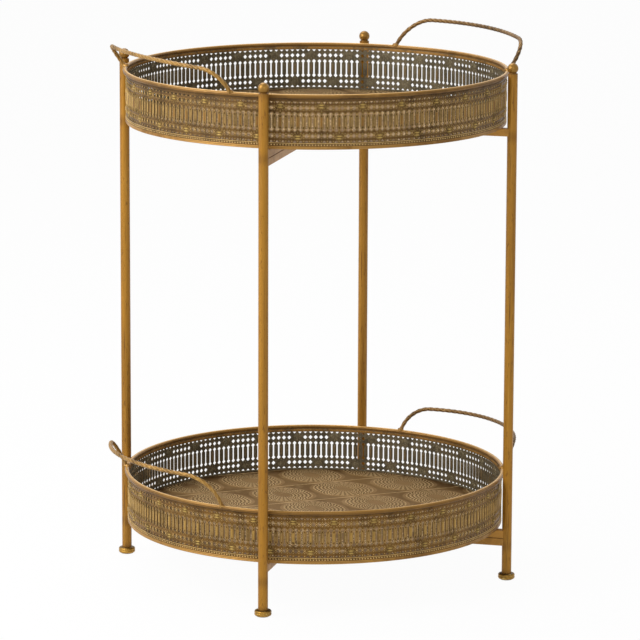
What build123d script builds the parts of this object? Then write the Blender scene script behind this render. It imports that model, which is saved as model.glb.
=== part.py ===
from build123d import *
import math
import os

# Serving trolley: two round pierced trays that lift off a folding frame with four legs.
# Millimetres, +Z up, origin on the floor under the middle, tray handles towards +X and -X.
# The outer frame holds the left and right legs, the inner frame the front and back legs.
# The inner frame's two bars lie between the outer frame's two bars and turn on two rivets.

# Heights: the upper rim lies a little below the finials' tops
overall_height = 700.0
upper_rim_drop = 15.7
lower_rim_top = 139.2

# Legs, round tube, a quarter turn apart, standing clear of the trays' rims
leg_diameter = 13.0
leg_wall = 1.2
leg_clearance = 3.0
left_leg_angle = 135
quarter_turn = 90
half_turn = 180

# Ball finials, each on a thin collar that caps the tube
finial_height = 14.8
ball_diameter = 14.5
collar_height = 1.0
collar_round = 0.35
neck_diameter = 9.6
spigot_length = 12.0
spigot_clearance = 0.05

# Feet, with a glide pad let into each underside
foot_diameter = 22.5
foot_height = 8.2
foot_top_round = 1.0
foot_bottom_round = 2.2
foot_socket_depth = 4.0
weld_clearance = 0.05
glide_diameter = 17.0
glide_thickness = 1.4
glide_recess = 0.6
glide_clearance = 0.1
glide_chamfer = 0.3

# Crossbars, square tube, and the short supports that bring all four rests to one height
bar_size = 10.4
bar_wall = 1.2
bar_corner = 0.9
support_length = 96.0

# Rivets, spacers and cap nuts of the two pivots
pivot_gap = 0.6
rivet_diameter = 5.0
rivet_head_diameter = 9.6
rivet_head_height = 2.4
rivet_head_round = 1.6
pivot_clearance = 0.06
pivot_end_play = 0.1
spacer_diameter = 10.0
spacer_clearance = 0.1
nut_across_flats = 8.0
nut_height = 3.6
nut_dome_height = 2.2
nut_dome_round = 1.8
nut_thread_depth = 4.2

# Trays: a pierced wall round a pressed floor, with a round wire rim and a plain foot band
tray_depth = 64.2
floor_height = 7.0
wall_inner_radius = 252.1
wall_thickness = 1.0
rim_wire_diameter = 6.0
rim_overhang = 0.6
band_height = 4.2
band_thickness = 0.8
band_round = 0.3
floor_thickness = 1.0
floor_flange = 4.0
floor_corner = 0.8

# Tall slots pierced through the wall, one to each pitch
slot_count = 210
slot_width = 1.9
slot_height = 25.0
slot_middle_depth = 35.8
cut_overrun = 1.0

# Handles: a round bar from the rim up and outwards, its grip bowed round the tray
handle_bar_diameter = 5.8
handle_end_angles = {"upper": 34.0, "lower": 31.2}
grip_arch = 2.0

# Handles are bent by hand. Each grip's height above the rim's top, its reach out past
# the rim's middle line, half its width, and how far it bows outwards between its ends
handle_bends = {
    "upper_tray_right_handle": (37.7, 11.7, 108.6, 16.3),
    "upper_tray_left_handle": (31.6, 7.6, 119.2, 19.1),
    "lower_tray_right_handle": (32.6, 31.4, 107.5, 34.1),
    "lower_tray_left_handle": (42.5, 31.4, 104.4, 28.8),
}

# Heights, radii and angles that follow
leg_radius = leg_diameter / 2
leg_bore_radius = leg_radius - leg_wall
leg_top = overall_height - finial_height
ball_radius = ball_diameter / 2
foot_bottom = glide_thickness - glide_recess
foot_top = foot_bottom + foot_height
leg_bottom = foot_top - foot_socket_depth
rivet_radius = rivet_diameter / 2
wall_outer_radius = wall_inner_radius + wall_thickness
rim_wire_radius = rim_wire_diameter / 2
rim_radius = wall_inner_radius - rim_overhang + rim_wire_radius
leg_circle_radius = rim_radius + rim_wire_radius + leg_clearance + leg_radius
leg_angles = {
    "left_leg": left_leg_angle,
    "right_leg": left_leg_angle + half_turn,
    "front_leg": left_leg_angle + quarter_turn,
    "back_leg": left_leg_angle - quarter_turn,
}
tray_height = tray_depth + floor_height
upper_rim_top = overall_height - upper_rim_drop
upper_tray_bottom = upper_rim_top - tray_height
lower_tray_bottom = lower_rim_top - tray_height

# Undersides of the four bars: outer frame above and below, inner frame between
outer_upper_bar_bottom = upper_tray_bottom - bar_size
inner_upper_bar_bottom = outer_upper_bar_bottom - pivot_gap - bar_size
inner_lower_bar_bottom = lower_tray_bottom - bar_size
outer_lower_bar_bottom = inner_lower_bar_bottom - pivot_gap - bar_size
support_height = pivot_gap + bar_size

os.makedirs("parts", exist_ok=True)


def leg_plane(angle, height):
    """A level plane centred on the leg that stands at this angle."""
    turn = math.radians(angle)
    return Plane(origin=(leg_circle_radius * math.cos(turn), leg_circle_radius * math.sin(turn), height))


def bar_plane(angle, height, distance=0):
    """An upright plane across the bar that runs at this angle, at a distance from the middle."""
    turn = math.radians(angle)
    along = Vector(math.cos(turn), math.sin(turn), 0)
    across = Vector(-math.sin(turn), math.cos(turn), 0)
    return Plane(origin=along * distance + Vector(0, 0, height), x_dir=across, z_dir=along)


# Legs

for name, angle in leg_angles.items():
    with BuildPart() as leg:
        with BuildSketch(leg_plane(angle, leg_bottom)):
            Circle(leg_radius)
            Circle(leg_bore_radius, mode=Mode.SUBTRACT)
        extrude(amount=leg_top - leg_bottom)
    leg.part.label = name
    export_step(leg.part, f"parts/{name}.step")

# Ball finials

for leg_name, angle in leg_angles.items():
    name = leg_name.replace("leg", "finial")
    with BuildPart() as finial:
        with BuildSketch(leg_plane(angle, leg_top)):
            Circle(leg_radius)
        extrude(amount=collar_height)
        fillet(finial.edges().group_by(Axis.Z)[-1], collar_round)
        with BuildSketch(leg_plane(angle, leg_top - spigot_length)):
            Circle(leg_bore_radius - spigot_clearance)
        extrude(amount=spigot_length)
        with BuildSketch(leg_plane(angle, leg_top + collar_height)):
            Circle(neck_diameter / 2)
        extrude(amount=finial_height - collar_height - ball_radius)
        with Locations(leg_plane(angle, overall_height - ball_radius)):
            Sphere(ball_radius)
    finial.part.label = name
    export_step(finial.part, f"parts/{name}.step")

# Feet

for leg_name, angle in leg_angles.items():
    name = leg_name.replace("leg", "foot")
    with BuildPart() as foot:
        with BuildSketch(leg_plane(angle, foot_bottom)):
            Circle(foot_diameter / 2)
        extrude(amount=foot_height)
        fillet(foot.edges().group_by(Axis.Z)[-1], foot_top_round)
        fillet(foot.edges().group_by(Axis.Z)[0], foot_bottom_round)
        with BuildSketch(leg_plane(angle, foot_top)):
            Circle(leg_radius + weld_clearance)
        extrude(amount=-foot_socket_depth, mode=Mode.SUBTRACT)
        with BuildSketch(leg_plane(angle, foot_bottom)):
            Circle(glide_diameter / 2 + glide_clearance)
        extrude(amount=glide_recess, mode=Mode.SUBTRACT)
    foot.part.label = name
    export_step(foot.part, f"parts/{name}.step")

# Glide pads

for leg_name, angle in leg_angles.items():
    name = leg_name.replace("leg", "glide")
    with BuildPart() as glide:
        with BuildSketch(leg_plane(angle, 0)):
            Circle(glide_diameter / 2)
        extrude(amount=glide_thickness)
        chamfer(glide.edges().group_by(Axis.Z)[0], glide_chamfer)
    glide.part.label = name
    export_step(glide.part, f"parts/{name}.step")

# Crossbars: name, angle, underside and the radius of the pivot hole

crossbars = [
    ("outer_upper_bar", leg_angles["left_leg"], outer_upper_bar_bottom, rivet_radius),
    ("outer_lower_bar", leg_angles["left_leg"], outer_lower_bar_bottom, rivet_radius),
    ("inner_upper_bar", leg_angles["back_leg"], inner_upper_bar_bottom, rivet_radius + pivot_clearance),
    ("inner_lower_bar", leg_angles["back_leg"], inner_lower_bar_bottom, rivet_radius + pivot_clearance),
]
for name, angle, bottom, hole_radius in crossbars:
    with BuildPart() as bar:
        with BuildSketch(bar_plane(angle, bottom + bar_size / 2)):
            RectangleRounded(bar_size, bar_size, bar_corner)
            Rectangle(bar_size - 2 * bar_wall, bar_size - 2 * bar_wall, mode=Mode.SUBTRACT)
        extrude(amount=leg_circle_radius, both=True)
        with BuildSketch(leg_plane(angle, bottom), leg_plane(angle + half_turn, bottom)):
            Circle(leg_radius)
        extrude(amount=bar_size, mode=Mode.SUBTRACT)
        with Locations((0, 0, bottom + bar_size)):
            Hole(hole_radius, depth=bar_size)
    bar.part.label = name
    export_step(bar.part, f"parts/{name}.step")

# Supports: short tubes welded on the lower bar of each level, flush with the higher bar

supports = [
    ("front_upper_support", leg_angles["front_leg"], inner_upper_bar_bottom + bar_size),
    ("back_upper_support", leg_angles["back_leg"], inner_upper_bar_bottom + bar_size),
    ("left_lower_support", leg_angles["left_leg"], outer_lower_bar_bottom + bar_size),
    ("right_lower_support", leg_angles["right_leg"], outer_lower_bar_bottom + bar_size),
]
for name, angle, bottom in supports:
    with BuildPart() as support:
        with BuildSketch(bar_plane(angle, bottom + support_height / 2, leg_circle_radius)):
            RectangleRounded(bar_size, support_height, bar_corner)
            Rectangle(bar_size - 2 * bar_wall, support_height - 2 * bar_wall, mode=Mode.SUBTRACT)
        extrude(amount=-(leg_radius + support_length))
        with BuildSketch(leg_plane(angle, bottom)):
            Circle(leg_radius)
        extrude(amount=support_height, mode=Mode.SUBTRACT)
    support.part.label = name
    export_step(support.part, f"parts/{name}.step")

# Pivots: where each rivet's head sits, the gap between its bars, and where its nut bears

upper_nut_top = inner_upper_bar_bottom - pivot_end_play
pivots = [
    ("upper", upper_tray_bottom, outer_upper_bar_bottom - pivot_gap, upper_nut_top),
    ("lower", lower_tray_bottom + pivot_end_play, inner_lower_bar_bottom - pivot_gap, outer_lower_bar_bottom),
]
for level, head_bottom, spacer_bottom, nut_top in pivots:
    with BuildPart() as rivet:
        with BuildSketch(Plane.XY.offset(head_bottom)):
            Circle(rivet_head_diameter / 2)
        extrude(amount=rivet_head_height)
        fillet(rivet.edges().group_by(Axis.Z)[-1], rivet_head_round)
        with BuildSketch(Plane.XY.offset(head_bottom)):
            Circle(rivet_radius)
        extrude(amount=nut_top - nut_thread_depth - head_bottom)
    rivet.part.label = f"{level}_pivot_rivet"
    export_step(rivet.part, f"parts/{level}_pivot_rivet.step")

    with BuildPart() as spacer:
        with BuildSketch(Plane.XY.offset(spacer_bottom)):
            Circle(spacer_diameter / 2)
            Circle(rivet_radius + spacer_clearance, mode=Mode.SUBTRACT)
        extrude(amount=pivot_gap)
    spacer.part.label = f"{level}_pivot_spacer"
    export_step(spacer.part, f"parts/{level}_pivot_spacer.step")

    with BuildPart() as nut:
        with BuildSketch(Plane.XY.offset(nut_top)):
            RegularPolygon(nut_across_flats / 2, 6, major_radius=False)
        extrude(amount=-nut_height)
        with BuildSketch(Plane.XY.offset(nut_top - nut_height)):
            Circle(nut_across_flats / 2)
        extrude(amount=-nut_dome_height)
        fillet(nut.edges().group_by(Axis.Z)[0], nut_dome_round)
        with Locations((0, 0, nut_top)):
            Hole(rivet_radius, depth=nut_thread_depth)
    nut.part.label = f"{level}_pivot_nut"
    export_step(nut.part, f"parts/{level}_pivot_nut.step")


# Trays

def slot_planes(middle_height):
    """One plane for each slot, facing outwards from inside the wall."""
    planes = []
    for index in range(slot_count):
        turn = math.radians(2 * half_turn * index / slot_count)
        out = Vector(math.cos(turn), math.sin(turn), 0)
        origin = out * (wall_inner_radius - cut_overrun) + Vector(0, 0, middle_height)
        planes.append(Plane(origin=origin, x_dir=(-out.Y, out.X, 0), z_dir=out))
    return planes


def handle_points(side, rim_top, end_angle, bends):
    """The handle's two feet on the rim's middle line, its grip's two ends and its middle."""
    rise, reach, grip_half_width, grip_bow = bends
    turn = math.radians(end_angle)
    foot_x = side * rim_radius * math.cos(turn)
    foot_y = rim_radius * math.sin(turn)
    middle_x = side * (rim_radius + reach)
    middle_z = rim_top + rise
    grip_x = middle_x - side * grip_bow
    feet = [(foot_x, end * foot_y, rim_top - rim_wire_radius) for end in (-1, 1)]
    grip_ends = [(grip_x, end * grip_half_width, middle_z - grip_arch) for end in (-1, 1)]
    return feet, grip_ends, (middle_x, 0, middle_z)


def wire_plane(foot):
    """A plane across the rim's wire at a handle's foot, which is shaped to sit on the wire."""
    return Plane(origin=foot, x_dir=(0, 0, 1), z_dir=(-foot[1], foot[0], 0))


for level, rim_top in (("upper", upper_rim_top), ("lower", lower_rim_top)):
    tray_bottom = rim_top - tray_height
    floor_top = rim_top - tray_depth
    rim_middle = rim_top - rim_wire_radius

    with BuildPart() as rim:
        with BuildSketch(Plane.XZ):
            with Locations((rim_radius, rim_middle)):
                Circle(rim_wire_radius)
        revolve(axis=Axis.Z)
    rim.part.label = f"{level}_tray_rim"
    export_step(rim.part, f"parts/{level}_tray_rim.step")

    with BuildPart() as gallery:
        with BuildSketch(Plane.XY.offset(tray_bottom)):
            Circle(wall_outer_radius)
            Circle(wall_inner_radius, mode=Mode.SUBTRACT)
        extrude(amount=rim_middle - tray_bottom)
        add(rim.part, mode=Mode.SUBTRACT)
        with BuildSketch(*slot_planes(rim_top - slot_middle_depth)):
            Rectangle(slot_width, slot_height)
        extrude(amount=wall_thickness + 2 * cut_overrun, mode=Mode.SUBTRACT)
    gallery.part.label = f"{level}_tray_gallery"
    export_step(gallery.part, f"parts/{level}_tray_gallery.step")

    with BuildPart() as floor:
        with BuildSketch(Plane.XY.offset(floor_top - floor_flange)):
            Circle(wall_inner_radius)
        extrude(amount=floor_flange)
        fillet(floor.edges().group_by(Axis.Z)[-1], floor_corner)
        with BuildSketch(Plane.XY.offset(floor_top - floor_flange)):
            Circle(wall_inner_radius - floor_thickness)
        extrude(amount=floor_flange - floor_thickness, mode=Mode.SUBTRACT)
    floor.part.label = f"{level}_tray_floor"
    export_step(floor.part, f"parts/{level}_tray_floor.step")

    with BuildPart() as band:
        with BuildSketch(Plane.XY.offset(tray_bottom)):
            Circle(wall_outer_radius + band_thickness)
        extrude(amount=band_height)
        fillet(band.edges().filter_by(GeomType.CIRCLE), band_round)
        with BuildSketch(Plane.XY.offset(tray_bottom)):
            Circle(wall_outer_radius)
        extrude(amount=band_height, mode=Mode.SUBTRACT)
    band.part.label = f"{level}_tray_band"
    export_step(band.part, f"parts/{level}_tray_band.step")

    for side, side_name in ((1, "right"), (-1, "left")):
        name = f"{level}_tray_{side_name}_handle"
        feet, grip_ends, grip_middle = handle_points(
            side, rim_top, handle_end_angles[level], handle_bends[name])
        with BuildPart() as handle:
            with BuildLine() as path:
                grip = ThreePointArc(grip_ends[0], grip_middle, grip_ends[1])
                TangentArc(grip @ 1, feet[1], tangent=grip % 1)
                TangentArc(grip @ 0, feet[0], tangent=-(grip % 0))
            bar_path = path.wires()[0]
            with BuildSketch(Plane(origin=bar_path @ 0, z_dir=bar_path % 0)):
                Circle(handle_bar_diameter / 2)
            sweep(path=bar_path)
            with BuildSketch(*[wire_plane(foot) for foot in feet]):
                Circle(rim_wire_radius)
            extrude(amount=handle_bar_diameter, both=True, mode=Mode.SUBTRACT)
        handle.part.label = name
        export_step(handle.part, f"parts/{name}.step")
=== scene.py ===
import functools
import math

import bmesh
import bpy
import numpy as np
from mathutils import Matrix, Quaternion, Vector, geometry, noise


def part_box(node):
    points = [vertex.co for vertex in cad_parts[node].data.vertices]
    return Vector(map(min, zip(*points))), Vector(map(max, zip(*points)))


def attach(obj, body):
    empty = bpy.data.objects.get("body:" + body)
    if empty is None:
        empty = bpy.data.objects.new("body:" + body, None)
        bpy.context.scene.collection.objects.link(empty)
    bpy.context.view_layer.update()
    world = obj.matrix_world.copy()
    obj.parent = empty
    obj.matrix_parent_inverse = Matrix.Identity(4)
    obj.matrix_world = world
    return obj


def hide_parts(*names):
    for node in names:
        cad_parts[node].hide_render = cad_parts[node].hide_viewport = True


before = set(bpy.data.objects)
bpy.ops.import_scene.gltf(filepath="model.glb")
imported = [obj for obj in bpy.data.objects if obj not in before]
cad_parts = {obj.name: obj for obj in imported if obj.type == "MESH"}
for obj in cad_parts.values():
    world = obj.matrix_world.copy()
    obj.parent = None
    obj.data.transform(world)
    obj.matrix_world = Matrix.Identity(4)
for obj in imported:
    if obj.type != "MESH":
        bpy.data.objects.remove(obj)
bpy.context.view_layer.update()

# Lengths are metres, so a real size is written times mm, unless its section says millimetres
mm = 0.001
levels = ("upper", "lower")
sides = {"left": -1, "right": 1}


# Meshes and pieces

def around(count):
    """Each number of a ring with the next."""
    return [(i, (i + 1) % count) for i in range(count)]


def strips(loops):
    """Faces that join each closed loop of points to the next."""
    return [(first[i], first[j], second[j], second[i]) for first, second in zip(loops, loops[1:])
            for i, j in around(len(first))]


def smoothed(mesh, smooth=True):
    mesh.polygons.foreach_set("use_smooth", [smooth] * len(mesh.polygons))
    return mesh


def mesh_from(name, vertices, faces, smooth=False):
    """A mesh from points and faces, with its faces smooth or flat."""
    mesh = bpy.data.meshes.new(name)
    mesh.from_pydata([tuple(v) for v in vertices], [], [tuple(f) for f in faces])
    mesh.update()
    return smoothed(mesh, smooth)


def outward(mesh):
    """Welds doubles and turns every face of a closed mesh outwards."""
    shape = bmesh.new()
    shape.from_mesh(mesh)
    bmesh.ops.remove_doubles(shape, verts=shape.verts, dist=0.002 * mm)
    bmesh.ops.recalc_face_normals(shape, faces=shape.faces)
    shape.to_mesh(mesh)
    shape.free()
    return mesh


def lathed(name, profile, steps):
    """A ring, or a solid whose profile starts and ends on its axis, from radii and heights."""
    turns = [math.tau * k / steps for k in range(steps)]
    vertices = [(r * math.cos(turn), r * math.sin(turn), z) for turn in turns for r, z in profile]
    count = len(profile)
    loops = [range(k * count, (k + 1) * count) for k in (*range(steps), 0)]
    return outward(mesh_from(name, vertices, strips(loops), smooth=True))


def piece(name, mesh, body, material=None, replaced=()):
    """Puts a finished mesh in the scene as a piece of the trolley."""
    thing = bpy.data.objects.new(name, mesh)
    bpy.context.scene.collection.objects.link(thing)
    if material is not None:
        mesh.materials.clear()
        mesh.materials.append(material)
    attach(thing, body)
    if replaced:
        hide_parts(*replaced)
    return thing


# Node trees, for shapes and for paint

class Term:
    """A value in a node tree. Sums with terms are written plainly and become Math nodes."""

    def __init__(self, tree, socket):
        self.tree, self.socket = tree, socket

    __add__ = __radd__ = lambda self, other: calculated("ADD", self, other)
    __sub__ = lambda self, other: calculated("SUBTRACT", self, other)
    __rsub__ = lambda self, other: calculated("SUBTRACT", other, self)
    __mul__ = __rmul__ = lambda self, other: calculated("MULTIPLY", self, other)
    __truediv__ = lambda self, other: calculated("DIVIDE", self, other)
    __rtruediv__ = lambda self, other: calculated("DIVIDE", other, self)
    __floordiv__ = lambda self, other: calculated("FLOOR", self / other)
    __mod__ = lambda self, other: calculated("FLOORED_MODULO", self, other)
    __pow__ = lambda self, other: calculated("POWER", self, other)
    __abs__ = lambda self: calculated("ABSOLUTE", self)


def add_node(tree, kind, inputs=(), **settings):
    """Adds a node, sets its properties, and fills its inputs with terms or plain values."""
    node = tree.nodes.new(kind)
    for key, value in settings.items():
        setattr(node, key, value)
    for key, value in dict(inputs).items():
        if isinstance(value, Term):
            tree.links.new(value.socket, node.inputs[key])
        else:
            node.inputs[key].default_value = value
    return node


def term(tree, kind, inputs=(), output=0, **settings):
    """What a new node puts out, at one of its outputs."""
    return Term(tree, add_node(tree, kind, inputs, **settings).outputs[output])


def calculated(operation, *values):
    """A Math node's result, of terms and numbers."""
    tree = next(value.tree for value in values if isinstance(value, Term))
    return term(tree, "ShaderNodeMath", dict(enumerate(values)), operation=operation)


def strongest(terms):
    return functools.reduce(lambda first, second: calculated("MAXIMUM", first, second), terms)


def ramp(value, low, high):
    """A smooth 0 to 1 as value goes from low to high."""
    return term(value.tree, "ShaderNodeMapRange", {"Value": value, "From Min": low, "From Max": high},
                interpolation_type="SMOOTHSTEP")


def new_group(name, kind, inputs, outputs):
    """A node group with named sockets, and what it is given, as terms by name."""
    tree = bpy.data.node_groups.new(name, f"{kind}NodeTree")
    for way, sockets in (("INPUT", inputs), ("OUTPUT", outputs)):
        for label, what in sockets.items():
            tree.interface.new_socket(name=label, in_out=way, socket_type=f"NodeSocket{what}")
    given = tree.nodes.new("NodeGroupInput").outputs
    return tree, {socket.name: Term(tree, socket) for socket in given}


# Geometry Nodes

def new_shaper(name, floats, ints=()):
    """A geometry tree that is given a shape, named sizes and a material, and puts out a shape."""
    sizes = {**dict.fromkeys(floats, "Float"), **dict.fromkeys(ints, "Int")}
    return new_group(name, "Geometry", {"Geometry": "Geometry", **sizes, "Material": "Material"},
                     {"Geometry": "Geometry"})


def close_shaper(tree, shape, material):
    """Realizes the instances, sets the material and ends the tree."""
    real = term(tree, "GeometryNodeRealizeInstances", {"Geometry": shape})
    done = term(tree, "GeometryNodeSetMaterial", {"Geometry": real, "Material": material})
    add_node(tree, "NodeGroupOutput", {"Geometry": done})
    return tree


def grown(name, start_mesh, tree, **values):
    """The plain mesh that a tree makes of a starting mesh, its inputs set by their identifiers."""
    carrier = bpy.data.objects.new(name, start_mesh)
    bpy.context.scene.collection.objects.link(carrier)
    modifier = carrier.modifiers.new("shape", "NODES")
    modifier.node_group = tree
    for item in tree.interface.items_tree:
        key = item.name.lower().replace(" ", "_")
        if item.in_out == "INPUT" and key in values:
            modifier[item.identifier] = values[key]
    bpy.context.view_layer.update()
    shaped = carrier.evaluated_get(bpy.context.evaluated_depsgraph_get())
    result = bpy.data.meshes.new_from_object(shaped)
    result.name = name
    carrier.modifiers.clear()
    bpy.data.objects.remove(carrier)
    return result


def places_round(tree, given):
    """Each place's number round a tray, and a function that copies a shape to some of the places."""
    spots = term(tree, "GeometryNodeMeshLine", {"Count": given["Count"], "Offset": (0, 0, 0)})
    index = term(tree, "GeometryNodeInputIndex")
    angle = index * (math.tau / given["Count"]) + given["First Angle"]
    rotation = term(tree, "FunctionNodeEulerToRotation", {0: term(tree, "ShaderNodeCombineXYZ", {"Z": angle})})

    def copies(shape, chosen):
        return term(tree, "GeometryNodeInstanceOnPoints",
                    {"Points": spots, "Selection": chosen, "Instance": shape, "Rotation": rotation})

    return index, copies


def in_run(index, first, period, run):
    """1 for the run of places that each period starts with, counted from the first."""
    return calculated("LESS_THAN", (index - first) % period, run)


def ring_shaper():
    """Copies a motif, modelled at its place beside +X, round the tray. In each period a run is kept."""
    tree, given = new_shaper("motifs round a tray", ("First Angle",), ("Count", "Period", "First", "Run"))
    index, copies = places_round(tree, given)
    kept = in_run(index, given["First"], given["Period"], given["Run"])
    return close_shaper(tree, copies(given["Geometry"], kept), given["Material"])


def wall_shaper():
    """Lays three kinds of wall tile round the tray and welds them into one sheet."""
    tree, given = new_shaper("pierced wall", ("First Angle", "Weld"),
                             ("Count", "Period", "Upper First", "Lower First", "Span"))
    index, copies = places_round(tree, given)
    upper, lower = (in_run(index, given[first], given["Period"], given["Span"])
                    for first in ("Upper First", "Lower First"))
    wanted = lower * 2.0 + upper
    face_kind = term(tree, "GeometryNodeInputNamedAttribute", {"Name": "kind"}, data_type="INT")
    joined = tree.nodes.new("GeometryNodeJoinGeometry")
    nearly = 0.1
    for kind in (0.0, 1.0, 2.0):
        of_kind, here = (calculated("COMPARE", value, kind, nearly) for value in (face_kind, wanted))
        tile = term(tree, "GeometryNodeSeparateGeometry", {"Geometry": given["Geometry"], "Selection": of_kind},
                    domain="FACE")
        tree.links.new(copies(tile, here).socket, joined.inputs[0])
    real = term(tree, "GeometryNodeRealizeInstances", {"Geometry": Term(tree, joined.outputs[0])})
    welded = term(tree, "GeometryNodeMergeByDistance", {"Geometry": real, "Distance": given["Weld"]})
    return close_shaper(tree, welded, given["Material"])


def bar_shaper():
    """Sweeps a rounded square with hollow sides along a path and twists it, a turn to each lay length."""
    tree, given = new_shaper("twisted bar", ("Width", "Corner", "Lay", "Step"))
    line = term(tree, "GeometryNodeMeshToCurve", {"Mesh": given["Geometry"]})
    even = term(tree, "GeometryNodeResampleCurve", {"Curve": line, "Length": given["Step"]}, mode="LENGTH")
    along = term(tree, "GeometryNodeSplineParameter", output="Length")
    turned = term(tree, "GeometryNodeSetCurveTilt", {"Curve": even, "Tilt": along / given["Lay"] * math.tau})
    square = term(tree, "GeometryNodeCurvePrimitiveQuadrilateral",
                  {"Width": given["Width"], "Height": given["Width"]})
    rounded = term(tree, "GeometryNodeFilletCurve", mode="POLY",
                   inputs={"Curve": square, "Radius": given["Corner"], "Count": 2, "Limit Radius": True})
    fine = term(tree, "GeometryNodeResampleCurve", {"Curve": rounded, "Count": 24})
    spot = term(tree, "GeometryNodeInputPosition")
    far = term(tree, "ShaderNodeVectorMath", {0: spot}, "Value", operation="LENGTH")
    corner = ramp(far, given["Width"] * 0.505, given["Width"] * 0.57)
    marked = term(tree, "GeometryNodeStoreNamedAttribute", data_type="FLOAT",
                  inputs={"Geometry": fine, "Name": "corner", "Value": corner})
    hollowed = 0.06
    hollow = term(tree, "ShaderNodeVectorMath", {0: spot, "Scale": corner * hollowed + (1 - hollowed)},
                  operation="SCALE")
    shaped = term(tree, "GeometryNodeSetPosition", {"Geometry": marked, "Position": hollow})
    bar = term(tree, "GeometryNodeCurveToMesh", {"Curve": turned, "Profile Curve": shaped, "Fill Caps": True})
    return close_shaper(tree, bar, given["Material"])


# Paint

def colour(rgb):
    """A colour given as the screen shows it, 0 to 255, turned to the renderer's own scale."""
    shares = [value / 255 for value in rgb]
    return (*[v / 12.92 if v <= 0.04045 else ((v + 0.055) / 1.055) ** 2.4 for v in shares], 1.0)


def mixed(share, first, second):
    """Two colours mixed by a share."""
    return term(share.tree, "ShaderNodeMix", {0: share, 6: first, 7: second}, output=2, data_type="RGBA")


def stretched(where, by):
    return term(where.tree, "ShaderNodeVectorMath", {0: where, 1: by}, operation="MULTIPLY")


def grain(where, scale, detail, roughness=0.5):
    """Soft noise over the surface, 0 to 1."""
    return term(where.tree, "ShaderNodeTexNoise",
                {"Vector": where, "Scale": scale, "Detail": detail, "Roughness": roughness})


def coordinates(where):
    parts = add_node(where.tree, "ShaderNodeSeparateXYZ", {0: where}).outputs
    return [Term(where.tree, part) for part in parts]


def axis_distance(where):
    """How far a point is from the trolley's upright middle line."""
    x, y, _ = coordinates(where)
    return (x * x + y * y) ** 0.5


def patina_group():
    """Brushed and mottled gold paint: where it is dark, where it is bright, how rough and how high."""
    group, given = new_group(
        "aged gold paint", "Shader",
        {"Vector": "Vector", "Stretch": "Vector", "Scale": "Float", "Body": "Color", "Dark": "Color",
         "Bright": "Color", "Dark Share": "Float", "Bright Share": "Float", "Rub": "Float", "Grime": "Float",
         "Roughness": "Float"},
        {"Color": "Color", "Roughness": "Float", "Height": "Float"})
    drawn = stretched(given["Vector"], given["Stretch"])
    streaks = grain(drawn, given["Scale"], 5.0, 0.62)
    blotches = grain(drawn, given["Scale"] * 0.21, 3.0)
    specks = grain(given["Vector"], given["Scale"] * 13.0, 2.0, 0.6)
    # The darkening mask given here carries dirt and painted shade, the lightening mask wear and painted
    # highlights.
    dark = ramp(blotches * 0.6 + streaks * 0.4, 0.47, 0.60) * given["Dark Share"] + given["Grime"]
    dark = calculated("MINIMUM", dark + ramp(specks, 0.56, 0.72) * 0.22, 1.0)
    bright = ramp(streaks, 0.52, 0.70) * given["Bright Share"] + given["Rub"]
    bright = calculated("MINIMUM", bright, 1.0)
    add_node(group, "NodeGroupOutput", {
        "Color": mixed(bright, mixed(dark, given["Body"], given["Dark"]), given["Bright"]),
        "Roughness": given["Roughness"] + dark * 0.20 - bright * 0.12,
        "Height": streaks * 0.5 + specks})
    return group


def proud_group():
    """How far a point stands off either face of the gallery's sheet, 0 to 1, and whether it is outside."""
    group, given = new_group(
        "proud of the sheet", "Shader",
        {"Vector": "Vector", "Middle Radius": "Float", "Low": "Float", "High": "Float"},
        {"Proud": "Float", "Outside": "Float"})
    off = axis_distance(given["Vector"]) - given["Middle Radius"]
    add_node(group, "NodeGroupOutput", {
        "Proud": strongest([ramp(off * -1.0, 0.62 * mm, 0.95 * mm), ramp(off, given["Low"], given["High"])]),
        "Outside": ramp(off, -0.1 * mm, 0.1 * mm)})
    return group


def placed(group, where, **inputs):
    """Places a shader group at the point on the piece, and gives what it puts out, as terms by name."""
    inputs = {key.replace("_", " ").title(): value for key, value in inputs.items()}
    node = add_node(where.tree, "ShaderNodeGroup", {"Vector": where, **inputs}, node_tree=group)
    return {socket.name: Term(where.tree, socket) for socket in node.outputs}


def new_material(name, metallic, roughness=0.4, **fixed):
    """A material, its shader with the fixed numbers on its own sockets, and the point on the piece."""
    material = bpy.data.materials.new(name)
    material.use_nodes = True
    shader = material.node_tree.nodes["Principled BSDF"]
    for key, value in dict(fixed, metallic=metallic, roughness=roughness).items():
        shader.inputs[key.replace("_", " ").title().replace("Ior", "IOR")].default_value = value
    return material, shader, term(material.node_tree, "ShaderNodeTexCoord", output="Object")


def dress(shader, tone, height, strength, depth, rough=None):
    """Gives a shader its colour, its bumps and, where it varies, its roughness."""
    tree = tone.tree
    tree.links.new(tone.socket, shader.inputs["Base Color"])
    if rough is not None:
        tree.links.new(rough.socket, shader.inputs["Roughness"])
    bumps = term(tree, "ShaderNodeBump", {"Height": height, "Strength": strength, "Distance": depth})
    tree.links.new(bumps.socket, shader.inputs["Normal"])


def lay_paint(shader, where, tones, relief=0.25, depth=0.4 * mm, raised=None, stretch=(1, 1, 1), **inputs):
    """Lays the aged gold paint. What is raised besides makes the paint's own bumps fainter."""
    body, dark, bright = tones
    paint = placed(patina, where, stretch=stretch, body=body, dark=dark, bright=bright, **inputs)
    height = paint["Height"] if raised is None else paint["Height"] * 0.12 + raised
    dress(shader, paint["Color"], height, relief, depth, paint["Roughness"])


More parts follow.
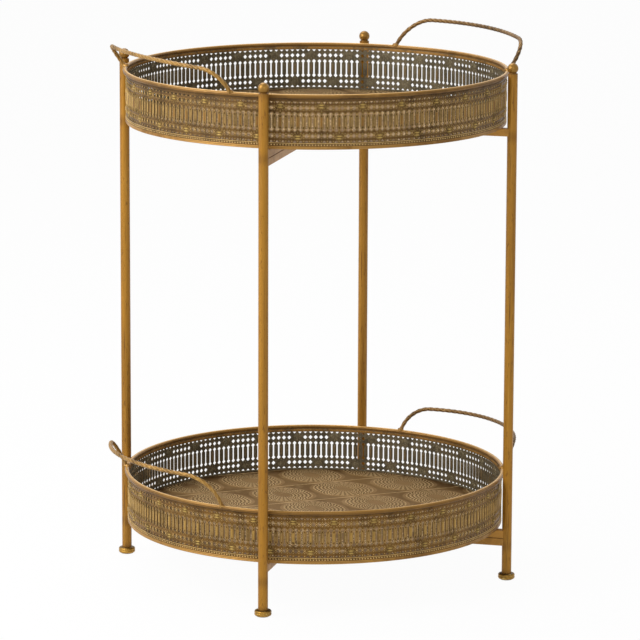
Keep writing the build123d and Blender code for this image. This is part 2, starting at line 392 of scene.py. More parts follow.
def gold_paint(name, tones, scale, dark_share, bright_share, stretch=(1, 1, 1), metallic=0.32, roughness=0.38,
               **masks):
    """Antique gold paint. The masks, the rubbed brightening with painted highlights and the darkening with dirt
    and painted shade, are functions of the point on the piece.
    """
    material, shader, where = new_material(f"{name} gold paint", metallic, specular_ior_level=0.3)
    masks = {key: mask(where) for key, mask in masks.items()}
    lay_paint(shader, where, map(colour, tones), stretch=stretch, scale=scale, dark_share=dark_share,
              bright_share=bright_share, roughness=roughness, **masks)
    return material


def near_heights(*bands):
    """A mask that is 1 at each height given and fades away over the reach given with it."""
    def mask(where):
        z = coordinates(where)[2]
        return strongest(1.0 - ramp(abs(z - middle), 0.0, reach) for middle, reach in bands)
    return mask


def weaker(mask, share):
    return lambda where: mask(where) * share


def either(*masks):
    return lambda where: strongest(mask(where) for mask in masks)


def scratches(stretch, scale, level, share):
    """Thin dark lines, drawn out along the directions that are stretched."""
    return lambda where: ramp(grain(stretched(where, stretch), scale, 2.0), level, level + 0.04) * share


def bar_corners(where):
    """1 on the corners of a twisted bar and 0 in its hollow sides."""
    return term(where.tree, "ShaderNodeAttribute", output="Fac", attribute_name="corner")


def bar_hollows(where):
    return 1.0 - bar_corners(where)


def plain_plastic(name, tone, roughness, scale):
    material, shader, where = new_material(name, 0.0, roughness)
    grains = grain(where, scale, 4.0)
    light = colour(tone)
    darker = (*[c * 0.7 for c in light[:3]], 1.0)
    dress(shader, mixed(ramp(grains, 0.35, 0.7), light, darker), grains, 0.2, 0.1 * mm)
    return material


def zinc_steel(name):
    material, shader, where = new_material(name, 1.0)
    grains, dull = grain(where, 900.0, 3.0), grain(where, 180.0, 2.0)
    tone = mixed(ramp(dull, 0.4, 0.65), colour((176, 176, 172)), colour((120, 118, 110)))
    dress(shader, tone, grains, 0.15, 0.1 * mm, rough=grains * 0.25 + 0.22)
    return material


patina = patina_group()
proud = proud_group()

# Colours of the gold paint as the screen shows them: body, dark, bright
gold_dark, gold_bright = (106, 68, 20), (214, 162, 70)
# The lower tray's sheet is painted lighter than the upper's: painted light, making up for the shade the upper
# tray casts on it.
sheet_tones_lit_per_level = {"upper": ((100, 72, 33), (48, 33, 14), (150, 115, 58)),
               "lower": ((116, 82, 33), (56, 38, 14), (164, 124, 58))}
relief_tones = ((180, 144, 80), (98, 72, 36), (240, 206, 136))
boss_tones = ((154, 126, 66), (96, 74, 36), (192, 160, 86))
# The upper tray's panels are painted darker than the lower's: partly less rubbed, partly painted shade.
panel_tones_lit_per_level = {"upper": ((122, 86, 40), (80, 54, 24), (160, 118, 56)),
               "lower": ((158, 122, 58), (104, 76, 34), (192, 154, 80))}
# Inside faces are painted darker than outside ones, partly as painted shade.
inner_tones_with_shade = ((106, 96, 75), (49, 44, 33), (188, 174, 138))
inner_panel_tones_with_shade = ((110, 93, 67), (60, 50, 36), (160, 136, 94))
lip_body = (164, 120, 56)
floor_tones = ((141, 110, 68), (74, 50, 22), (228, 196, 142))
# The right handles are painted browner and darker than the left: painted shade for the side away from the key
# light.
handle_tones_with_painted_shade = {"left": ((160, 119, 54), (82, 56, 26), (222, 178, 98)),
                "right": ((126, 92, 46), (62, 43, 22), (190, 148, 80))}


def bottom_of(node):
    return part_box(node)[0].z


def top_of(node):
    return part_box(node)[1].z


# Heights that the wear, the painted shade and the painted highlights follow, each with its reach
foot_top = top_of("front_foot")
leg_top = top_of("front_leg")
crossings = [(bottom_of(node), 12 * mm) for node in ("outer_upper_bar", "outer_lower_bar")]
bar_seam_shadows = [(bottom_of(node), 0.9 * mm) for node in ("front_upper_support", "left_lower_support")]
rim_crown_highlights = [(top_of(f"{level}_tray_rim"), 0.9 * mm) for level in levels]
rim_seams = [(top_of(f"{level}_tray_rim") - 2.9 * mm, 0.9 * mm) for level in levels]
rim_underside_shade = [(bottom_of(f"{level}_tray_rim"), 3.4 * mm) for level in levels]

frame_paint = gold_paint(
    "frame", ((171, 120, 36), gold_dark, gold_bright), 420.0, 0.4, 0.35, stretch=(1, 1, 0.03),
    grime=either(weaker(near_heights((foot_top, 8 * mm), (leg_top, 10 * mm), *crossings), 0.4),
                 scratches((1, 1, 0.02), 420.0, 0.65, 0.85), scratches((1, 1, 0.22), 480.0, 0.64, 0.5)))
finial_paint = gold_paint(
    "finial", ((146, 107, 44), gold_dark, gold_bright), 160.0, 0.6, 0.4, metallic=0.5, roughness=0.3,
    grime=weaker(near_heights((leg_top + 1.6 * mm, 3.2 * mm)), 0.7))
foot_paint = gold_paint(
    "foot", ((178, 134, 54), (84, 62, 24), (232, 196, 112)), 160.0, 0.5, 0.55, metallic=0.6, roughness=0.26,
    grime=weaker(near_heights((foot_top, 2.2 * mm)), 0.85))
# The crossbars are painted darker where each support meets its bar: a painted shadow line between the two
# parts.
bar_paint = gold_paint(
    "crossbar", ((186, 134, 58), (112, 76, 30), (216, 166, 88)), 90.0, 0.4, 0.3,
    grime=weaker(near_heights(*bar_seam_shadows), 0.9))
# The rim is painted brighter on its crown, a painted highlight, and darker along its underside, painted shade;
# the dark line round its middle is its seam.
rim_paint = gold_paint(
    "rim", ((146, 105, 44), (82, 56, 22), (230, 182, 104)), 70.0, 0.35, 0.15, roughness=0.36,
    rub=weaker(near_heights(*rim_crown_highlights), 0.8),
    grime=either(weaker(near_heights(*rim_underside_shade), 0.8), weaker(near_heights(*rim_seams), 0.7)))
band_paint = gold_paint(
    "band", ((168, 126, 62), gold_dark, gold_bright), 60.0, 0.55, 0.35, stretch=(1, 1, 0.35))
handle_paints = {side: gold_paint(
    f"{side} handle", handle_tones_with_painted_shade[side], 120.0, 0.75, 0.4, roughness=0.34,
    rub=weaker(bar_corners, 0.24), grime=weaker(bar_hollows, 0.25)) for side in sides}
glide_plastic = plain_plastic("glide plastic", (168, 160, 146), 0.6, 700.0)
spacer_nylon = plain_plastic("spacer nylon", (222, 216, 202), 0.5, 500.0)
pivot_steel = zinc_steel("zinc plated steel")

node_materials = {"leg": frame_paint, "finial": finial_paint, "foot": foot_paint, "glide": glide_plastic,
                  "bar": bar_paint, "support": bar_paint, "rivet": pivot_steel, "nut": pivot_steel,
                  "spacer": spacer_nylon, "rim": rim_paint, "band": band_paint}
for name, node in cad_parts.items():
    kind = name.split("_")[-1]
    if kind in node_materials:
        node.data.materials.clear()
        node.data.materials.append(node_materials[kind])


# The pierced gallery. Depths below the rim's top and sizes on the wall are millimetres.

slot_count = 210
medallion_period = 7
medallion_span = 2
triangle_depths = (11.0, 60.7)
diamond_depths = (17.7, 53.8)
medallion_depths = (15.6, 55.6)
slot_ends = (26.1, 45.6)
rope_depth = 7.4
lip_depth, lip_reach = 7.3, 3.2
bead_line_depth = 63.3
dots_depth = 65.4

# Half the width and half the height of what is pierced, and the cut across its corners
slot_neck = 1.05
slot_end_half = (2.8, 3.05)
triangle_half = (2.55, 1.35)
diamond_half = (2.85, 3.1)
corner_cut = 0.35
edge_steps = 9

# Which slot the first upper and lower medallion follow, and each tray's first slot's angle
medallion_first = {"upper": (0, 3), "lower": (2, 5)}
wall_turn_shares = {"upper": 0.12, "lower": 0.53}


class Gallery:
    """The sizes of one tray's gallery, read from the frame, in metres, but its pitch in millimetres."""

    def __init__(self, level):
        sheet_thickness = 1.0 * mm
        self.level = level
        self.body = f"{level}_tray"
        rim_low, rim_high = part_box(f"{level}_tray_rim")
        wall_low, wall_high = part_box(f"{level}_tray_gallery")
        self.rim_top = rim_high.z
        self.wire_radius = (rim_high.z - rim_low.z) / 2
        self.rim_radius = rim_high.x - self.wire_radius
        self.outer = wall_high.x
        self.inner = wall_high.x - sheet_thickness
        self.middle = (self.outer + self.inner) / 2
        self.bottom = wall_low.z
        self.pitch = math.tau * self.middle / slot_count / mm
        self.first_angle = math.tau * wall_turn_shares[level] / slot_count


def mirrored(right):
    """A closed outline from its right half."""
    return right + [(-x, z) for x, z in reversed(right)]


def diamond(depth, half):
    """The right half of a diamond with its corners cut."""
    (wide, high), cut = half, corner_cut
    return [(cut, depth - high + cut), (wide - cut, depth - cut), (wide - cut, depth + cut),
            (cut, depth + high - cut)]


def tile_holes(kind):
    """The outlines pierced through one pitch of the wall. In kinds 1 and 2 a medallion takes a diamond."""
    (top, bottom), (wide, high) = slot_ends, slot_end_half
    shoulder = high * (wide - slot_neck) / wide
    neck = [(slot_neck, top + shoulder), (slot_neck, bottom - shoulder)]
    holes = [diamond(top, slot_end_half)[:3] + neck + diamond(bottom, slot_end_half)[1:]]
    wide, high = triangle_half
    for depth, way in zip(triangle_depths, (1, -1)):
        flat, cut = depth - way * high, way * corner_cut
        holes.append([(wide, flat), (wide - corner_cut, flat + cut), (corner_cut, depth + way * high - cut)])
    holes += [diamond(depth, diamond_half) for number, depth in enumerate(diamond_depths, start=1)
              if number != kind]
    return [[Vector(point) * mm for point in mirrored(hole)] for hole in holes]


def inside(point, loop):
    """Whether a point lies inside a closed outline."""
    crossed = False
    for (x1, y1), (x2, y2) in zip(loop, loop[1:] + loop[:1]):
        if (y1 > point.y) != (y2 > point.y) and point.x < (x2 - x1) * (point.y - y1) / (y2 - y1) + x1:
            crossed = not crossed
    return crossed


def wall_tile(gallery, kind):
    """One flat tile of the wall, a pitch wide, with its holes cut through. Edges match its neighbours."""
    half = math.tan(math.pi / slot_count) * gallery.middle
    top, bottom = gallery.wire_radius, gallery.rim_top - gallery.bottom
    depths = [top + (bottom - top) * i / edge_steps for i in range(edge_steps + 1)]
    outline = [Vector((-half, d)) for d in depths] + [Vector((half, d)) for d in reversed(depths)]
    holes = tile_holes(kind)
    points, edges = [], []
    for loop in [outline] + holes:
        edges += [(len(points) + i, len(points) + j) for i, j in around(len(loop))]
        points += loop
    flat, _, triangles, *_ = geometry.delaunay_2d_cdt(points, edges, [], 1, 1e-9)
    solid = [corners for corners in triangles
             if not any(inside(sum((flat[i] for i in corners), Vector((0, 0))) / 3, hole) for hole in holes)]
    vertices = [(radius, p.x * radius / gallery.middle, gallery.rim_top - p.y)
                for radius in (gallery.outer, gallery.inner) for p in flat]
    count = len(flat)
    faces = []
    for a, b, c in solid:
        faces += [(c, b, a), (a + count, b + count, c + count)]
    used = dict.fromkeys(edge for a, b, c in solid for edge in ((a, b), (b, c), (c, a)))
    on_seam = [abs(abs(p.x) - half) < 1e-7 for p in flat]
    for a, b in used:
        along_seam = on_seam[a] and on_seam[b] and flat[a].x * flat[b].x > 0
        if (b, a) not in used and not along_seam:
            faces.append((a, b, b + count, a + count))
    return vertices, faces


def wall_tiles(gallery):
    """The three kinds of tile in one mesh, each face marked with its kind."""
    vertices, faces, kinds = [], [], []
    for kind in range(3):
        tile_vertices, tile_faces = wall_tile(gallery, kind)
        faces += [tuple(i + len(vertices) for i in face) for face in tile_faces]
        vertices += tile_vertices
        kinds += [kind] * len(tile_faces)
    mesh = mesh_from("wall tiles", vertices, faces)
    mesh.attributes.new("kind", "INT", "FACE").data.foreach_set("value", kinds)
    return mesh


class Motif:
    """A motif of the gallery in the making, at its place beside +X. Face 1 is outside and -1 inside."""

    def __init__(self, gallery):
        self.gallery = gallery
        self.middle = gallery.pitch / 2
        self.vertices, self.faces = [], []

    def point(self, face, across, depth, rise):
        """The number of a new point so far across and down the wall and off its face."""
        gallery = self.gallery
        radius = (gallery.outer if face > 0 else gallery.inner) + face * rise * mm
        turn = across * mm / gallery.middle
        self.vertices.append((radius * math.cos(turn), radius * math.sin(turn), gallery.rim_top - depth * mm))
        return len(self.vertices) - 1

    def skin(self, rings):
        """Joins rings of points into a closed solid."""
        self.faces += [*strips(rings), rings[0][::-1], rings[-1]]

    def ridge(self, face, path, half_width, height):
        """A ridge with a rounded back that follows a path over the wall and tapers at its ends."""
        sunk, shoulder, last = -0.15, 0.75 * height, len(path) - 1
        rings = []
        for i, (across, depth) in enumerate(path):
            (x1, y1), (x2, y2) = path[max(i - 1, 0)], path[min(i + 1, last)]
            along = Vector((x2 - x1, y2 - y1)).normalized()
            taper = 0.35 if i in (0, last) else 1.0
            x, y = along * half_width * taper
            rings.append([self.point(face, across - y * out, depth + x * out, up * taper)
                          for out, up in ((-1, sunk), (-0.6, shoulder), (0.6, shoulder), (1, sunk))])
        self.skin(rings)

    def dome(self, face, across, depth, half_width, half_height, rise, lean=0.0, corners=6, rings=1):
        """A low dome, an oval that may lean."""
        loops = []
        for ring in range(rings + 1):
            tilt = math.pi / 2 * ring / (rings + 0.6)
            lift = rise * math.sin(tilt) if ring else -0.2
            loop = []
            for k in range(corners):
                turn = math.tau * k / corners
                x = half_width * math.cos(tilt) * math.cos(turn)
                y = half_height * math.cos(tilt) * math.sin(turn)
                loop.append(self.point(face, across + x * math.cos(lean) - y * math.sin(lean),
                                       depth + x * math.sin(lean) + y * math.cos(lean), lift))
            loops.append(loop)
        self.skin(loops)

    def mesh(self, name, smooth=True):
        return outward(mesh_from(name, self.vertices, self.faces, smooth))


def medallion(gallery, depth):
    """A leafy oval boss over two pitches, its middle between two slots, on both faces of the wall."""
    boss = Motif(gallery)
    middle = boss.middle
    for lip in (-1, 1):
        boss.dome(1, middle, depth + lip * 1.45, 3.7, 1.25, 1.4, corners=12, rings=3)
    for number in range(4):
        size = 1 - 0.24 * number
        turns = [math.pi * k / 8 for k in range(9)]
        boss.ridge(-1, [(middle - 4.2 * size * math.cos(turn), depth + 2.2 - 4.6 * size * math.sin(turn))
                        for turn in turns], 0.34, 0.6)
    petals = 12
    for face, rise in ((1, 0.8), (-1, 0.55)):
        for k in range(petals):
            turn = math.tau * (k + 0.5) / petals
            boss.dome(face, middle + 4.7 * math.cos(turn), depth + 3.2 * math.sin(turn), 1.1, 0.65, rise,
                      lean=turn, rings=2)
    to_slots = 1 if depth < sum(slot_ends) / 2 else -1
    for face, rise in ((1, 0.65), (-1, 0.45)):
        for across, down, length in ((-3.3, 4.7, 1.4), (0, 6.3, 2.3), (3.3, 4.7, 1.4)):
            boss.dome(face, middle + across, depth + to_slots * down, 0.85, length, rise,
                      lean=-0.15 * to_slots * across)
    return boss.mesh("medallion")


def slot_panel(gallery):
    """The raised oblong beside a medallion, between its two slots."""
    panel = Motif(gallery)
    half, end, slope = 1.5, 3.4, 0.9
    top, bottom = slot_ends[0] + end, slot_ends[1] - end
    corners = ((-half, top, slope), (half, top, slope), (half, bottom, -slope), (-half, bottom, -slope))
    for face, rise in ((1, 0.9), (-1, 0.6)):
        panel.skin([[panel.point(face, panel.middle + across * width, depth + inset * share, up)
                     for across, depth, inset in corners]
                    for width, share, up in ((1, 0, -0.2), (0.66, 1, rise))])
    return panel.mesh("slot panel", smooth=False)


def column_rib(gallery):
    """The upright rib between neighbouring slots, with a row of beads along it."""
    rib = Motif(gallery)
    top, bottom = slot_ends[0] + 3.2, slot_ends[1] - 3.2
    path = [(rib.middle, depth) for depth in (top, top + 1, bottom - 1, bottom)]
    beads = 7
    for face, rise in ((1, 0.55), (-1, 0.4)):
        rib.ridge(face, path, 0.62, rise * 0.6)
        for k in range(beads):
            rib.dome(face, rib.middle, top + (bottom - top) * (k + 0.5) / beads, 0.55, 0.62, rise * 1.5)
    return rib.mesh("column rib")


def slot_frame(gallery):
    """The fine raised line round one slot, its neighbour's touching it beside the slot's ends."""
    line = Motif(gallery)
    reach = gallery.pitch / 2 - 0.35
    top, bottom = slot_ends
    path = ((0.35, top - 4.0), (reach, top), (1.95, top + 2.6), (1.95, bottom - 2.6), (reach, bottom),
            (0.35, bottom + 4.0))
    for face, rise in ((1, 0.6), (-1, 0.4)):
        for side in (-1, 1):
            line.ridge(face, [(side * across, depth) for across, depth in path], 0.34, rise)
    return line.mesh("slot frame")


def lattice(gallery, depth):
    """The raised lines that cross between two diamonds, with a bead above and below the crossing."""
    cross = Motif(gallery)
    for face, rise in ((1, 0.65), (-1, 0.4)):
        for side in (-1, 1):
            cross.ridge(face, [(cross.middle + step * side * 3.5, depth + step * 3.8) for step in (-1, 0, 1)],
                        0.4, rise)
            cross.dome(face, cross.middle, depth + side * 2.9, 0.75, 0.75, rise)
    return cross.mesh("lattice")


def triangle_points(gallery):
    """A small raised point beside each triangle, by the rim and by the floor."""
    points = Motif(gallery)
    for face, rise in ((1, 0.55), (-1, 0.4)):
        for depth in triangle_depths:
            points.dome(face, points.middle, depth, 0.6, 1.35, rise)
    return points.mesh("triangle points")


def rope_strand(gallery):
    """Half a pitch of the roped line under the rim: one leaning bead on each face."""
    strand = Motif(gallery)
    for face in (1, -1):
        strand.dome(face, 0, rope_depth, 0.75, 1.3, 0.5, lean=0.6)
    return strand.mesh("rope strand")


def dot(gallery):
    """Half a pitch of the dotted line above the band, and of the fine line above the dots."""
    dots = Motif(gallery)
    half, high = gallery.pitch / 4, 0.55
    dots.dome(1, 0, dots_depth, 1.1, 1.0, 0.8, corners=8, rings=2)
    for face in (1, -1):
        dots.skin([[dots.point(face, across, bead_line_depth + down * share, up)
                    for across, down in ((-half, -high), (half, -high), (half, high), (-half, high))]
                   for share, up in ((1, -0.1), (0.5, 0.45))])
    return dots.mesh("dot")


def build_band(gallery):
    """The foot band as it is rolled: a fine bead, a groove and a thicker bead at the bottom edge."""
    low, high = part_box(f"{gallery.body}_band")
    inner = gallery.outer + 0.02 * mm
    shares = ((0.0, 0.35), (0.02, 0.8), (0.12, 1.0), (0.26, 1.0), (0.36, 0.78), (0.42, 0.3), (0.5, 0.22),
              (0.56, 0.35), (0.62, 0.7), (0.72, 0.92), (0.82, 0.9), (0.92, 0.65), (1.0, 0.3))
    wide, tall = high.x - inner, high.z - low.z
    profile = [(inner, low.z), (inner, high.z)]
    profile += [(inner + wide * out, low.z + tall * up) for up, out in reversed(shares)]
    mesh = lathed(f"{gallery.body}_rolled_band", profile, 720)
    piece(mesh.name, mesh, gallery.body, band_paint, replaced=(f"{gallery.body}_band",))


def gallery_paint(gallery, name, tones, inner, bright_from, bright_share):
    """Bronze paint, rubbed bright on what stands proud, darker inside, partly as painted shade, but for a gold
    lip by the rim.
    """
    material, shader, where = new_material(f"{gallery.level} gallery {name}", 0.45, specular_ior_level=0.35)
    low, high = bright_from
    mask = placed(proud, where, middle_radius=gallery.middle, low=low * mm, high=high * mm)
    outside = mask["Outside"]
    lip = near_heights((gallery.rim_top - lip_depth * mm, lip_reach * mm))(where)
    inner_body, *inner_rest = map(colour, inner)
    inner = (mixed(lip, inner_body, colour(lip_body)), *inner_rest)
    tones = [mixed(outside, *pair) for pair in zip(inner, map(colour, tones))]
    lay_paint(shader, where, tones, scale=230.0, dark_share=0.55, bright_share=0.25, roughness=0.42,
              rub=mask["Proud"] * bright_share * (outside * 0.45 + 0.55))
    return material


def build_gallery(gallery, motifs_round, tiles_round):
    """All pieces of one tray's gallery: the pierced wall and what is embossed on it."""
    paints = {name: gallery_paint(gallery, name, *look) for name, look in {
        "sheet": (sheet_tones_lit_per_level[gallery.level], inner_tones_with_shade, (0.6, 1.2), 0.0),
        "relief": (relief_tones, inner_tones_with_shade, (0.65, 1.1), 0.5),
        "boss": (boss_tones, inner_tones_with_shade, (0.9, 1.9), 0.7),
        "panel": (panel_tones_lit_per_level[gallery.level], inner_panel_tones_with_shade, (0.9, 1.4), 0.5)}.items()}
    upper_first, lower_first = medallion_first[gallery.level]
    wall = grown(f"{gallery.body}_pierced_wall", wall_tiles(gallery), tiles_round, count=slot_count,
                 first_angle=gallery.first_angle, period=medallion_period, upper_first=upper_first,
                 lower_first=lower_first, span=medallion_span, weld=0.02 * mm, material=paints["sheet"])
    piece(wall.name, wall, gallery.body, replaced=(f"{gallery.body}_gallery",))

    def ring(name, mesh, count=slot_count, period=1, first=0, run=1, paint="relief"):
        made = grown(f"{gallery.body}_{name}", mesh, motifs_round, first_angle=gallery.first_angle, count=count,
                     period=period, first=first, run=run, material=paints[paint])
        piece(made.name, made, gallery.body)

    for row, first, boss_depth, row_depth in zip(levels, (upper_first, lower_first), medallion_depths,
                                                 diamond_depths):
        at_bosses = {"period": medallion_period, "first": first}
        ring(f"{row}_medallions", medallion(gallery, boss_depth), paint="boss", **at_bosses)
        ring(f"{row}_medallion_panels", slot_panel(gallery), paint="panel", **at_bosses)
        ring(f"{row}_lattice", lattice(gallery, row_depth), period=medallion_period, first=first + 1,
             run=medallion_period - 1)
    ring("column_ribs", column_rib(gallery))
    ring("slot_frames", slot_frame(gallery))
    ring("triangle_points", triangle_points(gallery))
    # The roped line takes the plain sheet paint, not the rubbed relief paint, so it stays dark under the rim:
    # painted shade.
    ring("roped_line", rope_strand(gallery), count=2 * slot_count, paint="sheet")
    ring("dotted_line", dot(gallery), count=2 * slot_count)


# Twisted handles

handle_end_angles = {"upper": math.radians(34.0), "lower": math.radians(31.2)}
grip_arch = 2.0 * mm
handle_bar_radius = 2.9 * mm
weld_size = Vector((4.2, 4.6, 2.6)) * mm

# Half the width of each grip, and how far it bows outwards between its ends
grip_bends = {
    "upper_tray_right_handle": (108.6 * mm, 16.3 * mm),
    "upper_tray_left_handle": (119.2 * mm, 19.1 * mm),
    "lower_tray_right_handle": (107.5 * mm, 34.1 * mm),
    "lower_tray_left_handle": (104.4 * mm, 28.8 * mm),
}


def arc_from(start, tangent, end, steps):
    """Points on the arc that leaves start along tangent and reaches end, and its tangent there."""
    chord = end - start
    normal = (chord - tangent * chord.dot(tangent)).normalized()
    radius = chord.length_squared / (2 * chord.dot(normal))
    sweep = 2 * math.atan2(chord.dot(normal), chord.dot(tangent))
    turns = [sweep * i / steps for i in range(steps + 1)]
    points = [start + (tangent * math.sin(turn) + normal * (1 - math.cos(turn))) * radius for turn in turns]
    return points, tangent * math.cos(sweep) + normal * math.sin(sweep)


def handle_path(gallery, side, node):
    """The middle line of one handle, from foot to foot, from the same sizes as the solid."""
    low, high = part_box(node)
    end_angle = handle_end_angles[gallery.level]
    grip_half_width, grip_bow = grip_bends[node]
    top = Vector(((high.x if side > 0 else low.x) - side * handle_bar_radius, 0, high.z - handle_bar_radius))
    end = top + Vector((-side * grip_bow, grip_half_width, -grip_arch))
    foot = Vector((side * gallery.rim_radius * math.cos(end_angle), gallery.rim_radius * math.sin(end_angle),
                   gallery.rim_top - gallery.wire_radius))
    grip, leaving = arc_from(top, Vector((0, 1, 0)), end, 24)
    leg, _ = arc_from(end, leaving, foot, 32)
    half = grip + leg[1:]
    return [Vector((p.x, -p.y, p.z)) for p in half[:0:-1]] + half


def weld_lumps(name, spots, seeds):
    """Lumps of weld, uneven flattened balls."""
    shape = bmesh.new()
    for middle, seed in zip(spots, seeds):
        ball = bmesh.ops.create_icosphere(shape, subdivisions=3, radius=1.0)["verts"]
        for vertex in ball:
            swell = 1 + 0.16 * noise.noise(vertex.co * 1.7 + Vector((seed, 0, 0)))
            vertex.co = vertex.co * weld_size * swell + middle
    mesh = bpy.data.meshes.new(name)
    shape.to_mesh(mesh)
    shape.free()
    return smoothed(mesh)


def build_handles(gallery, twisted_bar):
    for side_name, side in sides.items():
        node = f"{gallery.body}_{side_name}_handle"
        path = handle_path(gallery, side, node)
        line = bpy.data.meshes.new("handle line")
        line.from_pydata([tuple(p) for p in path], around(len(path))[:-1], [])
        bar = grown(f"{node}_twisted_bar", line, twisted_bar, width=5.1 * mm, corner=1.65 * mm, lay=38 * mm,
                    step=1.6 * mm, material=handle_paints[side_name])
        piece(bar.name, smoothed(bar), gallery.body, replaced=(node,))
        spots = [end + Vector((0, 0, gallery.wire_radius)) for end in (path[0], path[-1])]
        welds = weld_lumps(f"{node}_welds", spots, (side, 3.1 + side))
        piece(welds.name, welds, gallery.body, rim_paint)


# Feet

def build_feet():
    """The turned feet: a rounded disc with a groove round its side and a bevelled top."""
    shares = ((0.0, 0.0), (0.80, 0.0), (0.93, 0.07), (1.0, 0.22), (1.0, 0.40), (0.975, 0.47), (0.955, 0.50),
              (0.975, 0.53), (1.0, 0.60), (0.99, 0.76), (0.93, 0.88), (0.82, 0.95), (0.6, 1.0), (0.0, 1.0))
    for name in (*sides, "front", "back"):
        body = "outer_frame" if name in sides else "inner_frame"
        low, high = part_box(f"{name}_foot")
        middle, radius, height = (low + high) / 2, (high.x - low.x) / 2, high.z - low.z
        mesh = lathed(f"{name}_turned_foot", [(radius * out, height * up) for out, up in shares], 48)
        mesh.transform(Matrix.Translation((middle.x, middle.y, low.z)))
        piece(mesh.name, mesh, body, foot_paint, replaced=(f"{name}_foot",))


# The embossed floor

leaf_pitch = 91 * mm
leaf_angles = (math.radians(-8.5), math.radians(-91.5))
leaf_origin = (102.9 * mm, 96.1 * mm)
leaf_half_width_share = 0.47
leaf_pinch_power = 2.6
leaf_side_power = 1.8
ring_spacing = 4.5 * mm
floor_relief = 0.75 * mm
floor_thickness = 1.0 * mm


def leaf_shape(x, y):
    """Where points or terms lie between leaves, in pitches, and how far they are inside a leaf's edge."""
    (ax, ay), (bx, by) = ((math.cos(angle), math.sin(angle)) for angle in leaf_angles)
    across = ax * by - ay * bx
    dx, dy = (x - leaf_origin[0]) / leaf_pitch, (y - leaf_origin[1]) / leaf_pitch
    s = dx * (by / across) - dy * (bx / across)
    t = dy * (ax / across) - dx * (ay / across)
    s, t = s - (s + 0.5) // 1, t - (t + 0.5) // 1
    outwards = (abs(s) / leaf_half_width_share) ** leaf_side_power + abs(t * 2) ** leaf_pinch_power
    return s, t, (1 - outwards ** 0.45) * (leaf_half_width_share * leaf_pitch)


def leaf_relief(x, y):
    """The floor's relief at points: leaves stand proud, with rings on them and ridges between them."""
    s, t, edge = leaf_shape(x, y)
    leaf = 1 / (1 + np.exp(-edge / (1.0 * mm)))
    rings = 0.5 + 0.5 * np.cos(edge / ring_spacing * math.tau)
    ringed = leaf * (edge > 4 * mm) * (edge < 31 * mm)
    crown = leaf * np.clip(edge / (40 * mm), 0, 1)
    beside = 0.5 - np.abs(t)
    ridge_width = (0.8 + 1.0 * (1 - 2 * np.abs(s))) * mm
    ridge = np.exp(-(beside * leaf_pitch / ridge_width) ** 2) * (1 - leaf)
    return floor_relief * (0.45 * leaf + 0.35 * crown + 0.4 * rings * ringed + 0.5 * ridge - 0.9)


def disc_grid(radius, count):
    """A square grid of points bent into a disc, with no poles."""
    line = np.linspace(-1, 1, count)
    a, b = np.meshgrid(line, line, indexing="ij")
    swap = np.abs(a) >= np.abs(b)
    with np.errstate(divide="ignore", invalid="ignore"):
        angle = np.where(swap, math.pi / 4 * b / a, math.pi / 2 - math.pi / 4 * a / b)
    angle = np.nan_to_num(angle)
    reach = np.where(swap, a, b) * radius
    return reach * np.cos(angle), reach * np.sin(angle)


def build_floor(gallery, paint):
    """A tray's floor: an embossed disc with a rounded edge and a flange, hollow underneath."""
    low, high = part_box(f"{gallery.body}_floor")
    radius = high.x
    count = 299
    x, y = disc_grid(radius - 0.8 * mm, count)
    fade = np.clip((radius - 4 * mm - np.hypot(x, y)) / (6 * mm), 0, 1)
    vertices = np.stack([x, y, high.z + leaf_relief(x, y) * fade], axis=-1).reshape(-1, 3).tolist()
    number = np.arange(count * count).reshape(count, count)
    quads = np.stack([number[:-1, :-1], number[1:, :-1], number[1:, 1:], number[:-1, 1:]], axis=-1)
    rim = [*number[:-1, 0], *number[-1, :-1], *number[:0:-1, -1], *number[0, :0:-1]]
    loops = [rim]
    profile = ((radius - 0.25 * mm, high.z - 0.25 * mm), (radius, high.z - 0.8 * mm), (radius, low.z),
               (radius - floor_thickness, low.z), (radius - floor_thickness, high.z - floor_thickness))
    angles = [math.atan2(vertices[i][1], vertices[i][0]) for i in rim]
    for ring_radius, ring_z in profile:
        loops.append(range(len(vertices), len(vertices) + len(rim)))
        vertices += [(ring_radius * math.cos(a), ring_radius * math.sin(a), ring_z) for a in angles]
    faces = [*quads.reshape(-1, 4).tolist(), *strips(loops), loops[-1]]
    mesh = outward(mesh_from(f"{gallery.body}_embossed_floor", vertices, faces, smooth=True))
    mesh.polygons.foreach_set("use_smooth", [len(p.vertices) == 4 for p in mesh.polygons])
    piece(mesh.name, mesh, gallery.body, paint, replaced=(f"{gallery.body}_floor",))


